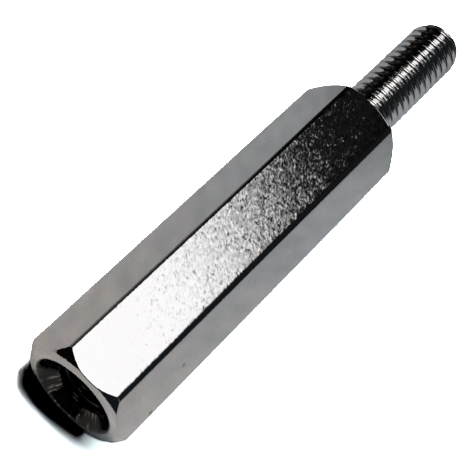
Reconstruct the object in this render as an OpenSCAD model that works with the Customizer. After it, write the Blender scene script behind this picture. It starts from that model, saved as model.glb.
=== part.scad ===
// Male-female hexagonal standoff, turned from one piece of hexagonal bar: a blind
// tapped hole with a countersunk mouth at one end, a threaded stud at the other.
// Sizes are in millimetres. The axis lies along +X, from the tapped end's face at
// the origin to the stud's tip, and the bar lies on one flat with +Z up.
// Both threads are drawn plain: the hole at its minor diameter, the stud at its major.

/* [Hexagonal body] */
// Distance between opposite flats
across_flats = 5; // [4.6:0.1:8]
// Length of the body between its two end faces
body_length = 20; // [16:0.5:50]
// Radius along the six long edges of the drawn bar
edge_radius = 0.28; // [0.1:0.02:0.6]

/* [End chamfers] */
// How far inside the flats each end chamfer starts
chamfer_inset = 0.05; // [0.02:0.01:0.12]
// Slope of the tapped end's chamfer against its face
chamfer_angle = 40; // [20:1:60]
// Slope of the shoulder's chamfer against its face
shoulder_chamfer_angle = 22; // [10:1:60]

/* [Tapped hole] */
// Minor diameter of the thread in the hole
hole_minor_d = 2.5; // [1.6:0.1:3.2]
// Depth of the hole's straight wall below the end face
hole_depth = 10; // [4:0.5:14]
// Included angle of the drill point at the bottom
drill_point_angle = 118; // [90:1:140]
// Diameter of the countersink at the end face
countersink_d = 4; // [3.4:0.1:4.3]
// Included angle of the countersink
countersink_angle = 120; // [82:1:140]

/* [Threaded stud] */
// Major diameter of the thread on the stud
stud_major_d = 2.88; // [2:0.02:4]
// Length of the stud from the shoulder to its tip
stud_length = 7.8; // [3:0.1:16]
// How far the tip chamfer comes in from the thread's crest
tip_inset = 0.24; // [0.1:0.02:0.5]
// Length of the tip chamfer along the stud
tip_length = 0.48; // [0.2:0.02:1]

/* [Hidden] */
$fn = 96;
// Length of bar that the part is turned from
total_length = body_length + stud_length;
// Arcs of the long edges: distance of their centres from the axis and from each other
edge_centre = (across_flats / 2 - edge_radius) / cos(30);
// Radius of the flat ring that each chamfer leaves
end_face_r = across_flats / 2 - chamfer_inset;
// A radius clear of the bar's corners, where the turning tool runs out
clear_r = across_flats;
// Heights of the two chamfer cones at that radius
chamfer_run = (clear_r - end_face_r) * tan(chamfer_angle);
shoulder_chamfer_run = (clear_r - end_face_r) * tan(shoulder_chamfer_angle);
// Depth of the countersink, down to the straight wall
countersink_depth = (countersink_d - hole_minor_d) / 2 / tan(countersink_angle / 2);
// Height of the drill point's cone
drill_point_h = hole_minor_d / 2 / tan(drill_point_angle / 2);
// The countersink's cone runs on this far out of the end face
overrun = 0.5;

// Section of the drawn bar: three bands from flat to flat, and an arc at each corner
module bar_section() {
    for (turn = [0, 60, 120])
        rotate(turn) square([across_flats, edge_centre], center = true);
    for (turn = [30 : 60 : 330])
        rotate(turn) translate([edge_centre, 0]) circle(r = edge_radius);
}

module bar() {
    linear_extrude(height = total_length) bar_section();
}

// Everything that the lathe leaves: the chamfered body, the shoulder and the stud
module turned_outline() {
    stud_r = stud_major_d / 2;
    rotate_extrude() polygon([
        [0, 0],
        [end_face_r, 0],
        [clear_r, chamfer_run],
        [clear_r, body_length - shoulder_chamfer_run],
        [end_face_r, body_length],
        [stud_r, body_length],
        [stud_r, total_length - tip_length],
        [stud_r - tip_inset, total_length],
        [0, total_length]
    ]);
}

// Drilled from the end face, countersunk, and left at the thread's minor diameter
module tapped_hole() {
    hole_r = hole_minor_d / 2;
    rotate_extrude() polygon([
        [0, -overrun],
        [countersink_d / 2 + overrun * tan(countersink_angle / 2), -overrun],
        [hole_r, countersink_depth],
        [hole_r, hole_depth],
        [0, hole_depth + drill_point_h]
    ]);
}

module standoff() {
    color("gainsboro") rotate([0, 90, 0]) difference() {
        intersection() {
            bar();
            turned_outline();
        }
        tapped_hole();
    }
}

standoff();
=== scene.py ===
"""Looks for the hex standoff: one nickel-plated piece, with both threads cut, on a pale studio floor."""
import math
import bpy
import numpy as np
from mathutils import Euler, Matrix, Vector

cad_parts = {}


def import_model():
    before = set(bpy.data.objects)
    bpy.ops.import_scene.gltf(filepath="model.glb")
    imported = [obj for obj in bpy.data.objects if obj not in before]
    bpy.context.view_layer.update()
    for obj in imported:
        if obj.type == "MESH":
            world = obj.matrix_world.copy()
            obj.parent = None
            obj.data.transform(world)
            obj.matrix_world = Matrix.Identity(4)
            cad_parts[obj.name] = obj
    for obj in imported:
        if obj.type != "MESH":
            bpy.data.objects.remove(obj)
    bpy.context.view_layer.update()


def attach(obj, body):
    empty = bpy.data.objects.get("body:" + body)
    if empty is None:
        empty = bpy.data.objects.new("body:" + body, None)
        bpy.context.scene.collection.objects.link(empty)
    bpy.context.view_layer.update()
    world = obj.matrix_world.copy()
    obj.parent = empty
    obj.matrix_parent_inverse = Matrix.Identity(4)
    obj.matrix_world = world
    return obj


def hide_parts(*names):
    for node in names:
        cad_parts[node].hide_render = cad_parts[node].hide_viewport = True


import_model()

MM = 0.001

# Sizes of the part in millimetres. They are those of the part's source, but for the long edges, the tapped
# end's chamfer, the countersink's slope and the stud's diameter, which differ a little
ACROSS_FLATS = 5.0
BODY_LENGTH = 20.0
# Radii of the six long edges, from the +Y one on towards the top: tumbling has worn them unevenly
EDGE_RADII = (0.28, 0.28, 0.39, 0.30, 0.32, 0.29)
END_FACE_R = 2.45
# The tapped end's chamfer is turned in two slopes, the second steeper
FACE_R = 2.38
CHAMFER_BREAK_R = 2.55
CHAMFER_OUTER_LEAST = 0.03
# The bar ran a little off centre when the chamfer was turned, so it is deeper on the +Y side
CHAMFER_OFF_CENTRE = -0.07
CHAMFER_SLOPE = math.tan(math.radians(28))
CHAMFER_OUTER_SLOPE = math.tan(math.radians(51))
SHOULDER_SLOPE = math.tan(math.radians(22))
HOLE_MINOR_R = 1.25
HOLE_DEPTH = 10.0
DRILL_POINT_H = 0.751
COUNTERSINK_R = 2.0
COUNTERSINK_SLOPE = math.tan(math.radians(50))
STUD_LENGTH = 7.8
TIP_X = BODY_LENGTH + STUD_LENGTH

# Threads: M3 x 0.5, right-hand
PITCH = 0.5
FLANK_SLOPE = math.tan(math.radians(60))
# How far the crests and roots of both are rounded
THREAD_ROUNDING = 0.05
STUD_MAJOR_R = 1.423
STUD_MINOR_R = 1.19
STUD_CREST = 0.13
STUD_PHASE = -0.2
TIP_R = 1.202
TIP_CHAMFER = 0.48
TIP_ROUNDING = 0.03
BORE_MAJOR_R = 1.52
BORE_CREST = 0.12
BORE_PHASE = 0.1
BORE_THREAD_END = 8.6
# The hole's thread fades out over this length before its end
BORE_FADE = 1.0
MOUTH_ROUNDING = 0.06
# Where the threaded patches start: this deep in the hole, and this far along the stud
MOUTH_X = 0.25
STUD_THREAD_START = 0.2
# How far each corner of the outline between those two is rounded, from the hole's mouth to the stud
OUTLINE_ROUNDINGS = (0, 0.12, 0.06, 0.04, 0.05, 0.20, 0.03, 0.05, 0)

# Mesh density
ARC_COLUMNS = 8
FLAT_COLUMNS = 14
ROWS_PER_PITCH = 14
ROUNDING_STEPS = 3
# No rounding takes more than this share of a side
LONGEST_ROUNDING = 0.45
# Points that round to the same multiple of this, in millimetres, become one
MERGE_STEP = 1e-4
# Guards against rounding errors: an angle in degrees, and the least length of a normal
ANGLE_SLACK = 1e-9
LEAST_NORMAL = 1e-30


def edge_centre(radius):
    """Distance from the axis to the centre of a long edge's arc."""
    return (ACROSS_FLATS / 2 - radius) / math.cos(math.radians(30))


def edge_half_angle(radius):
    """Angle, seen from the axis, from a long edge's middle to where its arc meets the flat."""
    across = radius * math.sin(math.radians(30))
    along = edge_centre(radius) + radius * math.cos(math.radians(30))
    return math.degrees(math.atan2(across, along))


def column_angles():
    """Angles about the axis, dense round the long edges. The last one repeats the first."""
    angles = []
    for k in range(6):
        start = 60 * k + edge_half_angle(EDGE_RADII[k])
        end = 60 * (k + 1) - edge_half_angle(EDGE_RADII[(k + 1) % 6])
        half = edge_half_angle(EDGE_RADII[k])
        angles += list(np.linspace(60 * k - half, start, ARC_COLUMNS, endpoint=False))
        angles += list(np.linspace(start, end, FLAT_COLUMNS, endpoint=False))
    angles.append(angles[0] + 360)
    return np.radians(angles)


def hexagon_radius(angles):
    """Distance from the axis to the rounded hexagon, whose corners are at 0, 60 ... degrees."""
    out = []
    for angle in np.degrees(angles):
        k = int(round(angle / 60.0)) % 6
        off = (angle + 30) % 60 - 30
        radius = EDGE_RADII[k]
        centre = edge_centre(radius)
        if abs(off) < edge_half_angle(radius) + ANGLE_SLACK:
            root = radius ** 2 - (centre * math.sin(math.radians(off))) ** 2
            out.append(centre * math.cos(math.radians(off)) + math.sqrt(max(root, 0.0)))
        else:
            out.append(ACROSS_FLATS / 2 / math.cos(math.radians(30 - abs(off))))
    return np.array(out)


def smooth_min(a, b, k):
    h = np.clip(0.5 + 0.5 * (b - a) / k, 0, 1)
    return b * (1 - h) + a * h - k * h * (1 - h)


def smooth_max(a, b, k):
    return -smooth_min(-a, -b, k)


def thread_depth(x, angle, phase, crest, depth, rounding):
    """Depth below the crest of a right-hand thread's groove, with rounded crest and root."""
    turns = (x - phase) / PITCH - angle / (2 * math.pi)
    from_crest = np.abs(turns - np.round(turns)) * PITCH
    flank = (from_crest - crest / 2) * FLANK_SLOPE
    return smooth_min(smooth_max(flank, 0 * flank, rounding), depth + 0 * flank, rounding)


def stud_radius(x, angle):
    depth = thread_depth(x, angle, STUD_PHASE, STUD_CREST, STUD_MAJOR_R - STUD_MINOR_R, THREAD_ROUNDING)
    thread = STUD_MAJOR_R - depth
    tip = TIP_R + (TIP_X - x) * (STUD_MAJOR_R - TIP_R) / TIP_CHAMFER
    return smooth_min(thread, tip, TIP_ROUNDING)


def bore_radius(x, angle):
    fade = np.clip((BORE_THREAD_END - x) / BORE_FADE, 0, 1)
    depth = thread_depth(x, angle, BORE_PHASE, BORE_CREST, BORE_MAJOR_R - HOLE_MINOR_R, THREAD_ROUNDING)
    thread = HOLE_MINOR_R + depth * fade
    cone = COUNTERSINK_R - x * COUNTERSINK_SLOPE
    return smooth_max(thread, cone, MOUTH_ROUNDING)


class Skin:
    """A closed mesh made of patches whose shared borders are merged."""

    def __init__(self, angles):
        self.angles = angles
        self.points = []
        self.faces = []

    def patch(self, x, r):
        """x and r: rows by columns, in millimetres."""
        rows, columns = x.shape
        base = len(self.points)
        y = r * np.cos(self.angles)
        z = r * np.sin(self.angles)
        self.points += list(np.stack([x, y, z], axis=-1).reshape(-1, 3))
        for i in range(rows - 1):
            for j in range(columns - 1):
                a = base + i * columns + j
                self.faces.append((a, a + 1, a + columns + 1, a + columns))


def helical_patch(skin, radius, x_from, x_to, from_far_end=False):
    """A patch whose rows follow the thread, cut off square at both ends.

    Its rows run with x, or against it for the hole, whose outline runs out towards the mouth. The wrong
    order turns the patch inside out.
    """
    a = skin.angles
    turn = PITCH * (a - a[0]) / (2 * math.pi)
    rows = int(math.ceil((x_to - x_from) / PITCH) + 1) * ROWS_PER_PITCH + 1
    k = np.arange(rows)[:, None] / ROWS_PER_PITCH * PITCH - PITCH
    x = np.clip(x_from + k + turn[None, :], x_from, x_to)
    r = radius(x, a[None, :])
    if from_far_end:
        x, r = x[::-1], r[::-1]
    skin.patch(x, r)


def rounded_profile(xs, rs, radii, steps):
    """Rounds the inner corners of a polyline given as columns; every column gets as many points."""
    out_x, out_r = [xs[0]], [rs[0]]
    for i in range(1, len(xs) - 1):
        p = np.stack([xs[i], rs[i]])
        before = np.stack([xs[i - 1], rs[i - 1]]) - p
        after = np.stack([xs[i + 1], rs[i + 1]]) - p
        lb, la = np.linalg.norm(before, axis=0), np.linalg.norm(after, axis=0)
        cut = np.minimum(radii[i], LONGEST_ROUNDING * np.minimum(lb, la))
        start, end = p + before / lb * cut, p + after / la * cut
        for t in np.linspace(0, 1, steps + 1):
            q = (1 - t) ** 2 * start + 2 * t * (1 - t) * p + t ** 2 * end
            out_x.append(q[0])
            out_r.append(q[1])
    out_x.append(xs[-1])
    out_r.append(rs[-1])
    return np.array(out_x), np.array(out_r)


def build_skin():
    angles = column_angles()
    skin = Skin(angles)
    one = np.ones_like(angles)
    hexagon = hexagon_radius(angles)
    shift = CHAMFER_OFF_CENTRE * np.cos(angles)
    face = FACE_R + shift
    inner = np.minimum(hexagon - CHAMFER_OUTER_LEAST, CHAMFER_BREAK_R + shift)
    break_x = (inner - face) * CHAMFER_SLOPE
    chamfer_x = break_x + (hexagon - inner) * CHAMFER_OUTER_SLOPE
    hole_x = [HOLE_DEPTH + DRILL_POINT_H, HOLE_DEPTH, BORE_THREAD_END]
    hole_r = [0.0, HOLE_MINOR_R, HOLE_MINOR_R]
    skin.patch(np.outer(hole_x, one), np.outer(hole_r, one))
    helical_patch(skin, bore_radius, MOUTH_X, BORE_THREAD_END, from_far_end=True)
    mouth_r = bore_radius(MOUTH_X + 0 * angles, angles)
    stud_x = BODY_LENGTH + STUD_THREAD_START
    xs = [MOUTH_X * one, 0 * one, 0 * one, break_x, chamfer_x]
    rs = [mouth_r, COUNTERSINK_R * one, face, inner, hexagon]
    shoulder_x = BODY_LENGTH - (hexagon - END_FACE_R) * SHOULDER_SLOPE
    xs += [shoulder_x, BODY_LENGTH * one, BODY_LENGTH * one, stud_x * one]
    rs += [hexagon, END_FACE_R * one, STUD_MAJOR_R * one, stud_radius(stud_x + 0 * angles, angles)]
    x, r = rounded_profile(xs, rs, OUTLINE_ROUNDINGS, ROUNDING_STEPS)
    skin.patch(x, r)
    helical_patch(skin, stud_radius, stud_x, TIP_X)
    tip_r = stud_radius(TIP_X + 0 * angles, angles)
    skin.patch(np.outer([TIP_X, TIP_X], one), np.stack([tip_r, 0 * one]))
    return skin


def mesh_object(name, skin):
    mesh = bpy.data.meshes.new(name)
    points = np.array(skin.points) * MM
    keys = np.round(points / (MERGE_STEP * MM)).astype(np.int64)
    _, first, same = np.unique(keys, axis=0, return_index=True, return_inverse=True)
    same = same.reshape(-1)
    faces = []
    for face in skin.faces:
        corners = []
        for v in face:
            k = int(same[v])
            if k not in corners:
                corners.append(k)
        if len(corners) >= 3:
            faces.append(corners)
    mesh.from_pydata(points[first].tolist(), [], faces)
    mesh.update()
    ob = bpy.data.objects.new(name, mesh)
    bpy.context.scene.collection.objects.link(ob)
    return ob


def soften(mesh):
    """Smooth shading, with each point's normal weighted by the areas of its faces, so flats stay flat."""
    count = len(mesh.vertices)
    normals = np.zeros((count, 3))
    for polygon in mesh.polygons:
        n = np.array(polygon.normal) * polygon.area
        for v in polygon.vertices:
            normals[v] += n
    normals /= np.maximum(np.linalg.norm(normals, axis=1, keepdims=True), LEAST_NORMAL)
    mesh.polygons.foreach_set("use_smooth", [True] * len(mesh.polygons))
    mesh.normals_split_custom_set_from_vertices(normals.tolist())


# How rough the noises are that tilt the metal and mottle the floor
LUMP_ROUGHNESS = 0.6


class Nodes:
    """Short-hand for building a node tree."""

    def __init__(self, tree):
        self.tree = tree
        tree.nodes.clear()

    def add(self, kind, settings=None, **inputs):
        node = self.tree.nodes.new(kind)
        for key, value in (settings or {}).items():
            setattr(node, key, value)
        for key, value in inputs.items():
            by_number = key[0] == "_" and key[1:].isdigit()
            socket = node.inputs[int(key[1:]) if by_number else key.replace("_", " ")]
            if isinstance(value, bpy.types.NodeSocket):
                self.tree.links.new(value, socket)
            else:
                socket.default_value = value
        return node

    def math(self, operation, a, b=0.0, c=0.0, clamp=False):
        settings = {"operation": operation, "use_clamp": clamp}
        return self.add("ShaderNodeMath", settings, _0=a, _1=b, _2=c).outputs[0]

    def vector(self, operation, a, b=(0, 0, 0), c=(0, 0, 0)):
        return self.add("ShaderNodeVectorMath", {"operation": operation}, _0=a, _1=b, _2=c).outputs[0]

    def ramp(self, value, low, high, out_low=0.0, out_high=1.0, smooth=True):
        settings = {"interpolation_type": "SMOOTHSTEP" if smooth else "LINEAR", "clamp": True}
        limits = {"_1": low, "_2": high, "_3": out_low, "_4": out_high}
        return self.add("ShaderNodeMapRange", settings, _0=value, **limits).outputs[0]

    def scaled(self, vector, factor):
        return self.add("ShaderNodeVectorMath", {"operation": "SCALE"}, _0=vector, _3=factor).outputs[0]

    def place(self):
        return self.add("ShaderNodeTexCoord").outputs["Object"]

    def split(self, vector):
        return self.add("ShaderNodeSeparateXYZ", None, _0=vector).outputs

    def noise(self, place, scale, **settings):
        """A noise as a value, first, and as a colour."""
        return self.add("ShaderNodeTexNoise", None, Vector=place, Scale=scale, **settings).outputs

    def tilt_noise(self, place, size):
        """A small random direction at each place, from a noise whose lumps are of this size."""
        noise = self.noise(place, 1 / size, Detail=2.0, Roughness=LUMP_ROUGHNESS)
        return self.vector("SUBTRACT", noise["Color"], (0.5, 0.5, 0.5))

    def mix(self, factor, a, b):
        return self.add("ShaderNodeMix", {"data_type": "RGBA"}, _0=factor, _6=a, _7=b).outputs[2]


# Bright nickel: its colour, and the fine unevenness that the plating shows
NICKEL_WARM = (0.742, 0.688, 0.660, 1)
NICKEL_COOL = (0.688, 0.703, 0.693, 1)
# Its tone changes between these limits of a noise
TONE_ROUGHNESS = 0.7
TONE_LIMITS = (0.35, 0.65)
GRAIN_SIZE = 0.085 * MM
GRAIN_TILT = 0.125
# The grain's strokes run this much longer along +X +Y
GRAIN_STRETCH = 1.9
GRAIN_TURN = math.radians(-45)
TONE_SCALE = 0.7 / GRAIN_SIZE
# It is stronger and duller in some patches: their scale, the noise's limits, and the tilts and roughnesses
# that go with them
PATCH_SCALE = 0.25 / GRAIN_SIZE
PATCH_LIMITS = (0.3, 0.7)
PATCH_TILTS = (0.5 * GRAIN_TILT, 1.5 * GRAIN_TILT)
PATCH_ROUGHNESSES = (0.05, 0.08)
SPECK_SIZE = 0.17 * MM
SPECK_TILT = 0.17
# Specks come in places: the scale and the limits of the noise that says where
SPECK_SPREAD = 0.8 / SPECK_SIZE
SPECK_LIMITS = (0.50, 0.70)
# Inside the hole the colour is painted darker, as shade in the recess; the plating there is also thin and
# dull, and shows fine marks from the tools that cut it
CUT_METAL_IN_SHADE = (0.27, 0.25, 0.22, 1)
CUT_SHADE_BETWEEN_STREAKS = (0.035, 0.034, 0.032, 1)
# Near black: the colour of the nicks, and the painted shade deep in the bore
NICK_AND_BORE_SHADE_METAL = (0.03, 0.028, 0.027, 1)
CUT_STREAK = 0.16 * MM
CUT_STREAK_LIMITS = (0.50, 0.66)
CUT_TILT = 0.16
CUT_LONG, CUT_FINE = 0.30 * MM, 0.07 * MM
CUT_ROUGHNESS = 0.05
# Where the cut metal fades out, in distance from the axis and in depth, and the depths over which its
# painted shade turns darkest
CUT_EDGE = (2.00 * MM, 2.13 * MM)
CUT_END = (11 * MM, 12 * MM)
CUT_DEEP = (0.42 * MM, 0.75 * MM)
# Small nicks in the plating, in millimetres, with how wide and how dark each is: three in a row on the top
# flat, and two on the flat to its right. Each is darkest within this share of its width
NICK_CORE = 0.2
NICKS = (
    ((4.50, 0.560, 2.500), 0.075, 0.28),
    ((4.44, 0.502, 2.500), 0.075, 0.30),
    ((4.38, 0.445, 2.500), 0.075, 0.28),
    ((4.17, -2.326, 0.972), 0.14, 0.60),
    ((1.90, -2.758, 0.222), 0.15, 0.75),
)


def nickel():
    m = bpy.data.materials.new("bright_nickel")
    m.use_nodes = True
    n = Nodes(m.node_tree)
    place = n.place()
    normal = n.add("ShaderNodeNewGeometry").outputs["Normal"]
    turned = n.add("ShaderNodeVectorRotate", {"rotation_type": "Z_AXIS"}, Vector=place, Angle=GRAIN_TURN)
    strokes = n.vector("MULTIPLY", turned.outputs[0], (1 / GRAIN_STRETCH, 1, 1))
    grain = n.tilt_noise(strokes, GRAIN_SIZE)
    patches = n.noise(place, PATCH_SCALE, Detail=1.0)[0]
    strength = n.ramp(patches, *PATCH_LIMITS, *PATCH_TILTS)
    tilt = n.scaled(grain, strength)
    where = n.noise(place, SPECK_SPREAD, Detail=2.0)[0]
    speck = n.scaled(n.tilt_noise(place, SPECK_SIZE), n.ramp(where, *SPECK_LIMITS, 0.0, SPECK_TILT))
    tilt = n.vector("ADD", tilt, speck)
    in_hole, deep, streaks = inside(n, place)
    marks = n.vector("MULTIPLY", place, (CUT_FINE / CUT_LONG, 1, 1))
    cut = n.scaled(n.tilt_noise(marks, CUT_FINE), n.math("MULTIPLY", in_hole, CUT_TILT))
    tilt = n.vector("ADD", tilt, cut)
    tilted = n.vector("NORMALIZE", n.vector("ADD", normal, tilt))
    tone = n.noise(place, TONE_SCALE, Detail=3.0, Roughness=TONE_ROUGHNESS)[0]
    colour = n.mix(n.ramp(tone, *TONE_LIMITS), NICKEL_WARM, NICKEL_COOL)
    for middle, width, dark in NICKS:
        centre = [v * MM for v in middle]
        off = n.add("ShaderNodeVectorMath", {"operation": "DISTANCE"}, _0=place, _1=centre).outputs["Value"]
        nick = n.ramp(off, NICK_CORE * width * MM, width * MM, dark, 0.0)
        colour = n.mix(nick, colour, NICK_AND_BORE_SHADE_METAL)
    # Painted shade in the hole: near black between the tool-mark streaks, and near black deep in the bore
    streaked_hole_shade = n.mix(streaks, CUT_SHADE_BETWEEN_STREAKS, CUT_METAL_IN_SHADE)
    colour = n.mix(in_hole, colour, n.mix(deep, streaked_hole_shade, NICK_AND_BORE_SHADE_METAL))
    roughness = n.ramp(patches, *PATCH_LIMITS, *PATCH_ROUGHNESSES)
    roughness = n.math("MULTIPLY_ADD", in_hole, CUT_ROUGHNESS, roughness)
    looks = {"Base_Color": colour, "Metallic": 1.0, "Roughness": roughness, "Normal": tilted}
    b = n.add("ShaderNodeBsdfPrincipled", None, **looks)
    n.add("ShaderNodeOutputMaterial", None, Surface=b.outputs[0])
    return m


def inside(n, place):
    """How far a place is in the cut metal, down the bore into its darkest painted shade, and in a bright
    streak, each from 0 to 1.
    """
    xyz = n.split(place)
    across = n.math("POWER", xyz[1], 2.0)
    across = n.math("SQRT", n.math("ADD", across, n.math("POWER", xyz[2], 2.0)))
    narrow = n.ramp(across, *CUT_EDGE, 1.0, 0.0)
    in_hole = n.math("MULTIPLY", narrow, n.ramp(xyz[0], *CUT_END, 1.0, 0.0))
    deep = n.ramp(xyz[0], *CUT_DEEP)
    round_it = n.math("MULTIPLY", n.math("ARCTAN2", xyz[2], xyz[1]), COUNTERSINK_R * MM)
    drawn_out = n.math("MULTIPLY", across, CUT_FINE / CUT_LONG)
    along = n.add("ShaderNodeCombineXYZ", None, _0=round_it, _1=drawn_out).outputs[0]
    noise = n.noise(along, 1 / CUT_STREAK, Detail=2.0)[0]
    return in_hole, deep, n.ramp(noise, *CUT_STREAK_LIMITS)


piece = mesh_object("standoff_dressed", build_skin())
soften(piece.data)
piece.data.materials.append(nickel())
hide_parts("standoff")
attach(piece, "root")


# The camera, as fitted to the photo: its place in millimetres and its turn in degrees
CAMERA_AT = (-18.9878, -1.1160, 51.0611)
CAMERA_TURN = (23.1806, -20.3292, -48.5130)
CAMERA_LENS = 99.504
CAMERA_SENSOR = 36.0
CAMERA_CLIP = (0.001, 10.0)


def camera():
    data = bpy.data.cameras.new("camera")
    data.sensor_width = CAMERA_SENSOR
    data.lens = CAMERA_LENS
    data.clip_start, data.clip_end = CAMERA_CLIP
    ob = bpy.data.objects.new("camera", data)
    ob.location = Vector(CAMERA_AT) * MM
    ob.rotation_euler = Euler([math.radians(v) for v in CAMERA_TURN], "XYZ")
    bpy.context.scene.collection.objects.link(ob)
    bpy.context.scene.camera = ob


def stage_object(name, verts, faces, material, floor_like=False):
    """Part of the studio. The camera sees only the floor, which takes shadows. The metal shows the rest."""
    mesh = bpy.data.meshes.new(name)
    mesh.from_pydata(verts, [], faces)
    mesh.materials.append(material)
    ob = bpy.data.objects.new(name, mesh)
    bpy.context.scene.collection.objects.link(ob)
    if not floor_like:
        ob.visible_camera = False
        ob.visible_diffuse = False
        ob.visible_shadow = False


def material_nodes(name):
    m = bpy.data.materials.new(name)
    m.use_nodes = True
    return m, Nodes(m.node_tree)


def shown(n, strength):
    """A glow that the metal shows, but that adds nothing to the light the floor gathers."""
    rays = n.add("ShaderNodeLightPath").outputs
    return n.math("MULTIPLY", n.math("SUBTRACT", 1.0, rays["Diffuse Depth"], clamp=True), strength)


def glowing(n, colour, strength):
    """Ends a material as a glow that only the metal shows."""
    e = n.add("ShaderNodeEmission", None, Color=colour, Strength=shown(n, strength))
    n.add("ShaderNodeOutputMaterial", None, Surface=e.outputs[0])


def window(n, xyz, limits, margin):
    """1 inside these limits in x, y and so on, fading to 0 over the margin."""
    out = 1.0
    for value, (low, high) in zip(xyz, limits):
        out = n.math("MULTIPLY", out, n.ramp(value, low - margin, low + margin))
        out = n.math("MULTIPLY", out, n.ramp(value, high - margin, high + margin, 1.0, 0.0))
    return out


FLOOR_SIZE = 1.0
# The floor's brightness to the camera, past white so that only the deep shadow shows, and to the metal
FLOOR_WHITE = 8.0
FLOOR_GREY = 0.585
# The light on the floor, as the metal shows it, is a painted pool that falls off to the left, to the right
# and ahead: from where, to where, and what is left
FLOOR_POOL_LEFT = (0.006, 0.040, 0.65)
FLOOR_POOL_RIGHT = (-0.006, -0.030, 0.35)
FLOOR_POOL_AHEAD = (0.022, 0.036, 0.10)
# Its colours, with painted light in them: brighter and warmer near the part, dimmer and cooler far off; and
# where they turn from near to far and from left to right
FLOOR_TO_FAR = (0.0, 0.02)
FLOOR_TO_RIGHT = (0.006, -0.006)
FLOOR_NEAR_LEFT = (0.97, 0.885, 0.83, 1)
FLOOR_FAR_LEFT = (0.75, 0.75, 0.76, 1)
FLOOR_NEAR_RIGHT = (1.05, 1.00, 0.97, 1)
FLOOR_FAR_RIGHT = (0.84, 0.85, 0.875, 1)
# Its faint unevenness, as the metal shows it: size, the noise's limits, and how much of the brightness and
# of each colour
FLOOR_MOTTLE = 0.0011
FLOOR_MOTTLE_LIMITS = (0.3, 0.7)
FLOOR_MOTTLE_TONE = 0.14
FLOOR_MOTTLE_TINT = 0.12


def floor():
    m, n = material_nodes("pale_floor")
    place = n.place()
    xyz = n.split(place)
    # Painted light in the floor's colour: brighter and warmer near the part, dimmer and cooler far off
    far = n.ramp(xyz[0], *FLOOR_TO_FAR)
    right = n.ramp(xyz[1], *FLOOR_TO_RIGHT)
    tint_left = n.mix(far, FLOOR_NEAR_LEFT, FLOOR_FAR_LEFT)
    tint = n.mix(right, tint_left, n.mix(far, FLOOR_NEAR_RIGHT, FLOOR_FAR_RIGHT))
    rays = n.add("ShaderNodeLightPath").outputs
    metal = n.math("ADD", rays["Is Glossy Ray"], rays["Is Transmission Ray"], clamp=True)
    metal = n.math("SUBTRACT", metal, rays["Diffuse Depth"], clamp=True)
    # The painted pool of light on the floor, which only the metal shows
    for value, (start, end, left_over) in ((xyz[1], FLOOR_POOL_LEFT), (xyz[1], FLOOR_POOL_RIGHT),
                                           (xyz[0], FLOOR_POOL_AHEAD)):
        metal = n.math("MULTIPLY", metal, n.ramp(value, start, end, 1.0, left_over, False))
    mottle = n.noise(place, 1 / FLOOR_MOTTLE, Detail=3.0, Roughness=LUMP_ROUGHNESS)
    tone = n.ramp(mottle[0], *FLOOR_MOTTLE_LIMITS, 1 - FLOOR_MOTTLE_TONE, 1 + FLOOR_MOTTLE_TONE, False)
    tints = n.vector("MULTIPLY_ADD", mottle[1], [2 * FLOOR_MOTTLE_TINT] * 3, [1 - FLOOR_MOTTLE_TINT] * 3)
    tint = n.vector("MULTIPLY", tint, tints)
    metal = n.math("MULTIPLY", metal, n.math("MULTIPLY", tone, FLOOR_GREY))
    seen = n.math("MULTIPLY_ADD", rays["Is Camera Ray"], FLOOR_WHITE, metal)
    white = n.add("ShaderNodeBsdfDiffuse", None, Color=n.scaled(tint, seen))
    n.add("ShaderNodeOutputMaterial", None, Surface=white.outputs[0])
    s, z = FLOOR_SIZE, -ACROSS_FLATS / 2 * MM
    stage_object("floor", [(-s, -s, z), (s, -s, z), (s, s, z), (-s, s, z)], [(0, 1, 2, 3)], m, True)


# Cards stand round the part, up to CARD_TOP degrees above level. They are nearly black, but for the places
# that CARD_GLOWS lights
CARD_RADIUS = 0.046
CARD_MIDDLE = 0.012
CARD_TOP = 40
# Their colours, and where one turns into the other
CARD_TO_RIGHT = (0.01, -0.02)
CARD_LEFT = (0.002, 0.002, 0.002, 1)
CARD_RIGHT = (0.008, 0.010, 0.012, 1)
CARD_MARGIN = 0.003
# Where they are lit, as limits in x, in y and in z, and how brightly: ahead on the left, beside the tapped
# end on the right and on the left, then low down ahead on the left
CARD_GLOWS = (
    ((0.013, 1.0), (0.0365, 1.0), (-1.0, 1.0), (0.080, 0.078, 0.076, 1)),
    ((0.001, 0.010), (-1.0, -0.030), (-1.0, 1.0), (0.30, 0.31, 0.32, 1)),
    ((0.001, 0.010), (0.030, 1.0), (-1.0, 1.0), (0.10, 0.10, 0.10, 1)),
    ((0.010, 0.036), (0.012, 1.0), (-1.0, 0.011), (0.14, 0.138, 0.135, 1)),
)


def zone(radius, middle_x, top, rings=12, around=48):
    """Part of a sphere from the floor up to an elevation, as vertices and faces."""
    verts, faces = [], []
    for i in range(rings + 1):
        e = math.radians(top) * i / rings
        for j in range(around):
            a = 2 * math.pi * j / around
            verts.append((middle_x + radius * math.cos(e) * math.cos(a), radius * math.cos(e) * math.sin(a),
                          radius * math.sin(e) - ACROSS_FLATS / 2 * MM))
    for i in range(rings):
        for j in range(around):
            k = (j + 1) % around
            faces.append((i * around + j, i * around + k, (i + 1) * around + k, (i + 1) * around + j))
    return verts, faces


def black_cards():
    m, n = material_nodes("black_cards")
    xyz = n.split(n.place())
    shade = n.mix(n.ramp(xyz[1], *CARD_TO_RIGHT), CARD_LEFT, CARD_RIGHT)
    for *limits, glow in CARD_GLOWS:
        shade = n.mix(window(n, xyz, limits, CARD_MARGIN), shade, glow)
    glowing(n, shade, 1.0)
    stage_object("black_cards", *zone(CARD_RADIUS, CARD_MIDDLE, CARD_TOP), m)


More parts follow.
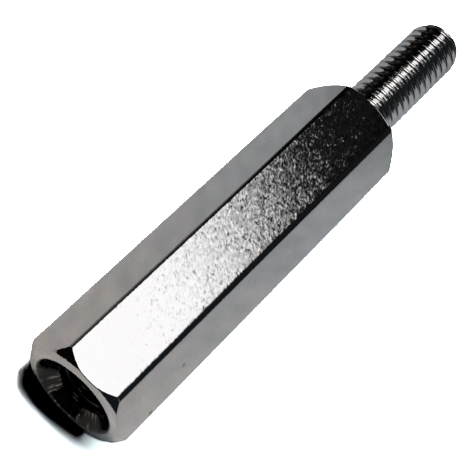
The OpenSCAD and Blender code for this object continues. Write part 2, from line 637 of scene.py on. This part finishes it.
DOME_RADIUS = 2.0
DOME_TOP = 90
DOME_RINGS = 24
# The room beyond is dim: darkest behind on the left, and a little cooler and brighter to the right and ahead
ROOM_LEFT = (0.003, 0.003, 0.003, 1)
ROOM_RIGHT = (0.016, 0.021, 0.025, 1)
ROOM_AHEAD = (0.010, 0.011, 0.013, 1)
# Where they turn into each other
ROOM_TO_RIGHT = (0.3 * DOME_RADIUS, -0.1 * DOME_RADIUS)
ROOM_TO_AHEAD = (0.2 * DOME_RADIUS, 0.5 * DOME_RADIUS)


def dark_room():
    m, n = material_nodes("dark_room")
    xyz = n.split(n.place())
    right = n.ramp(xyz[1], *ROOM_TO_RIGHT)
    ahead = n.ramp(xyz[0], *ROOM_TO_AHEAD)
    sides = n.mix(right, ROOM_LEFT, ROOM_RIGHT)
    glowing(n, n.mix(ahead, sides, ROOM_AHEAD), 1.0)
    stage_object("dark_room", *zone(DOME_RADIUS, 0.0, DOME_TOP, DOME_RINGS), m)


# The softbox's window, level, one metre up, so that its sizes are tangents of the angle from straight above
SOFTBOX_HEIGHT = 1.0
SOFTBOX_STRENGTH = 1.42
SOFTBOX_COLOUR = (0.955, 0.97, 1.0, 1)
# Its far side is bent, and fades out: how it turns on either side of the bend
SOFTBOX_FAR = (0.475, 0.715)
SOFTBOX_BEND = 0.20
SOFTBOX_TURN = (0.37, -0.40)
# Its wide area, and the narrow one that reaches back past the standoff: limits in X and in Y, and their soft
# margin
WIDE_X, WIDE_Y = (0.29, 1.0), (-0.50, 0.66)
NARROW_X, NARROW_Y = (-0.85, 0.4), (-0.085, 0.27)
SOFTBOX_MARGIN = 0.04
# Its bulb, near straight above, shows only in the stud's thread
SOFTBOX_BULB = 2.0
SOFTBOX_BULB_X = (0.36, 0.28)
# The cloth round the window is rumpled and glows faintly, more on the right
SOFTBOX_CLOTH = (0.0, 0.006)
SOFTBOX_RUMPLE = 11
SOFTBOX_RUMPLE_LIMITS = (0.42, 0.62)
SOFTBOX_RUMPLE_GLOW = (0.1, 2.6)
SOFTBOX_CLOTH_Y = (0.5, -0.4)
# The whole sheet
SOFTBOX_X, SOFTBOX_Y = (-1.0, 1.0), (-0.6, 0.9)


def softbox():
    m, n = material_nodes("softbox")
    place = n.place()
    xyz = n.split(place)
    right = n.math("MINIMUM", xyz[1], SOFTBOX_BEND)
    left = n.math("MAXIMUM", n.math("SUBTRACT", xyz[1], SOFTBOX_BEND), 0.0)
    along = n.math("MULTIPLY_ADD", right, -SOFTBOX_TURN[0], xyz[0])
    along = n.math("MULTIPLY_ADD", left, -SOFTBOX_TURN[1], along)
    far = n.ramp(along, SOFTBOX_FAR[0], SOFTBOX_FAR[1], 1.0, 0.0)
    wide = window(n, xyz, (WIDE_X, WIDE_Y), SOFTBOX_MARGIN)
    narrow = window(n, xyz, (NARROW_X, NARROW_Y), SOFTBOX_MARGIN)
    glow = n.math("MULTIPLY", far, n.math("MAXIMUM", wide, narrow))
    bulb = n.ramp(xyz[0], *SOFTBOX_BULB_X, SOFTBOX_STRENGTH, SOFTBOX_BULB)
    cloth = n.ramp(xyz[1], *SOFTBOX_CLOTH_Y, *SOFTBOX_CLOTH)
    rumple = n.noise(place, SOFTBOX_RUMPLE, Detail=2.0)[0]
    cloth = n.math("MULTIPLY", cloth, n.ramp(rumple, *SOFTBOX_RUMPLE_LIMITS, *SOFTBOX_RUMPLE_GLOW))
    glowing(n, SOFTBOX_COLOUR, n.math("MULTIPLY_ADD", glow, bulb, cloth))
    (x0, x1), (y0, y1), z = SOFTBOX_X, SOFTBOX_Y, SOFTBOX_HEIGHT
    stage_object("softbox", [(x0, y0, z), (x1, y0, z), (x1, y1, z), (x0, y1, z)], [(0, 1, 2, 3)], m)


# The lamps, as high as the softbox: each one's middle and size, as tangents from straight above.
# Together they are at a plain level: a white surface under them renders white
KEY_MIDDLE, KEY_SIZE, KEY_ENERGY, KEY_COLOUR = (0.22, 0.12), (0.07, 0.07), 5.0, (1.0, 0.96, 0.95)
FILL_MIDDLE, FILL_SIZE, FILL_ENERGY, FILL_COLOUR = (0.17, -0.225), (0.10, 0.91), 4.9, (0.78, 0.92, 1.0)


def lamp(name, middle, size, energy, colour):
    data = bpy.data.lights.new(name, "AREA")
    data.shape = "RECTANGLE"
    data.size, data.size_y = size
    data.energy = energy
    data.color = colour
    ob = bpy.data.objects.new(name, data)
    ob.location = (middle[0], middle[1], SOFTBOX_HEIGHT)
    ob.visible_glossy = False
    ob.visible_camera = False
    bpy.context.scene.collection.objects.link(ob)


# A narrow strip light stands ahead, which the far shoulder shows as a bright sliver
STRIP_X = 0.050
STRIP_Y = (-0.0055, 0.0005)
STRIP_Z = (0.014, 0.025)
STRIP_STRENGTH = 1.5


def strip_light():
    m, n = material_nodes("strip_light")
    glowing(n, SOFTBOX_COLOUR, STRIP_STRENGTH)
    (y0, y1), (z0, z1) = STRIP_Y, STRIP_Z
    corners = [(STRIP_X, y0, z0), (STRIP_X, y0, z1), (STRIP_X, y1, z1), (STRIP_X, y1, z0)]
    stage_object("strip_light", corners, [(0, 1, 2, 3)], m)


def world():
    w = bpy.data.worlds.new("world")
    bpy.context.scene.world = w
    w.use_nodes = True
    n = Nodes(w.node_tree)
    rays = n.add("ShaderNodeLightPath").outputs
    seen = n.math("ADD", rays["Is Camera Ray"], rays["Is Glossy Ray"], clamp=True)
    seen = n.math("ADD", seen, rays["Is Transmission Ray"], clamp=True)
    b = n.add("ShaderNodeBackground", None, Color=(1, 1, 1, 1), Strength=seen)
    n.add("ShaderNodeOutputWorld", None, Surface=b.outputs[0])


camera()
floor()
black_cards()
dark_room()
softbox()
strip_light()
lamp("key", KEY_MIDDLE, KEY_SIZE, KEY_ENERGY, KEY_COLOUR)
lamp("fill", FILL_MIDDLE, FILL_SIZE, FILL_ENERGY, FILL_COLOUR)
world()
bpy.context.scene.view_settings.view_transform = "Standard"
